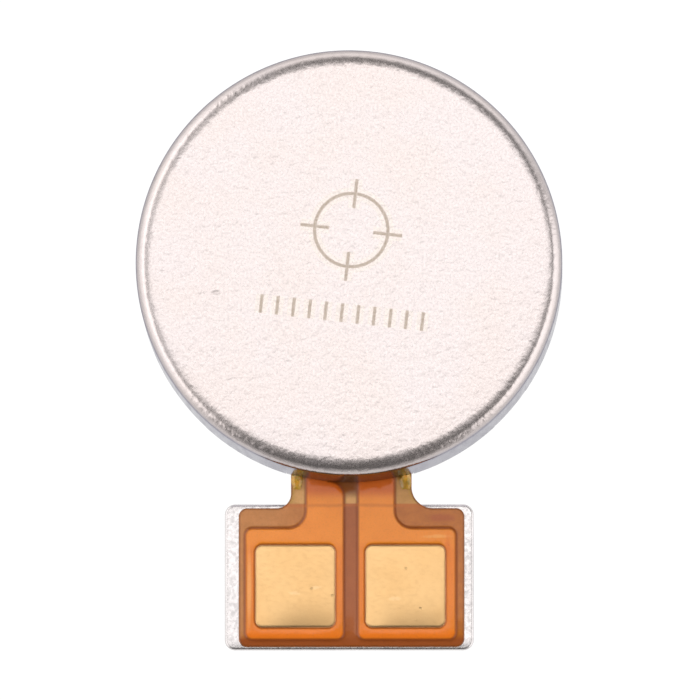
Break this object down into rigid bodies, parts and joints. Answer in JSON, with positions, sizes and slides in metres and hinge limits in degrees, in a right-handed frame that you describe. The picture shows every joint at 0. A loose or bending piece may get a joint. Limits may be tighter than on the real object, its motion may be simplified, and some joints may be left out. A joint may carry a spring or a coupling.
{
  "type": "coin linear vibration motor",
  "caption": "Coin-type linear resonant vibration motor: drawn steel case, spring-hung weight and magnet over a voice coil, and a flex tail with gold contact pads.",
  "frame": {"origin": "centre of the bracket's flat underside", "axes": "+Z through the case's top face along the motion of the weight, tail along -Y, +X to the right of the tail seen from above"},
  "size_m": [0.01, 0.0139, 0.003],
  "materials": {
    "case_steel": "satin face, polished edge and wall",
    "bracket_steel": "satin",
    "stiffener_steel": "satin, tumbled edges",
    "adhesive_film": "matt",
    "polyimide_base": "glossy amber film",
    "polyimide_coverlay": "glossy amber film over copper",
    "trace_copper": "rolled copper",
    "contact_gold": "satin gold plating",
    "sealant": "glossy resin",
    "coil_wire": "enamelled copper",
    "bond_resin": "cured resin",
    "solder": "bright tin",
    "damper_foam": "fine-cell elastomer",
    "soft_iron": "plated soft iron",
    "magnet_nickel": "nickel plating",
    "tungsten": "sintered, machined",
    "spring_steel": "etched spring strip"
  },
  "bodies": {
    "housing": {"case": "case_steel", "bracket": "bracket_steel", "flex_adhesive": "adhesive_film", "flex_base_film": "polyimide_base", "trace_left": "trace_copper", "trace_right": "trace_copper", "flex_coverlay": "polyimide_coverlay", "exit_sealant_left": "sealant", "exit_sealant_right": "sealant", "voice_coil": "coil_wire", "coil_bond": "bond_resin", "coil_lead_left": "coil_wire", "coil_lead_right": "coil_wire", "solder_left": "solder", "solder_right": "solder", "lower_damper": "damper_foam", "flat_spring": "spring_steel"},
    "moving_mass": {"pole_plate": "soft_iron", "magnet": "magnet_nickel", "yoke": "soft_iron", "weight_ring": "tungsten", "upper_damper": "damper_foam"},
    "flex_tail": {"stiffener_plate": "stiffener_steel", "stiffener_adhesive": "adhesive_film", "pad_left": "contact_gold", "pad_right": "contact_gold"}
  },
  "joints": [
    {"name": "mass_slide", "type": "slide", "parent": "housing", "child": "moving_mass", "axis": [0, 0, 1], "range_m": [-0.0003, 0.0003], "stiffness_N_per_m": 1360, "deforming": ["flat_spring"]},
    {"name": "tail_bend", "type": "hinge", "parent": "housing", "child": "flex_tail", "pos_m": [0, -0.00533, 0.00028], "axis": [-1, 0, 0], "range_deg": [-45, 45], "stiffness_Nm_per_rad": 0.0025, "deforming": ["flex_base_film", "flex_coverlay", "trace_left", "trace_right"]}
  ]
}
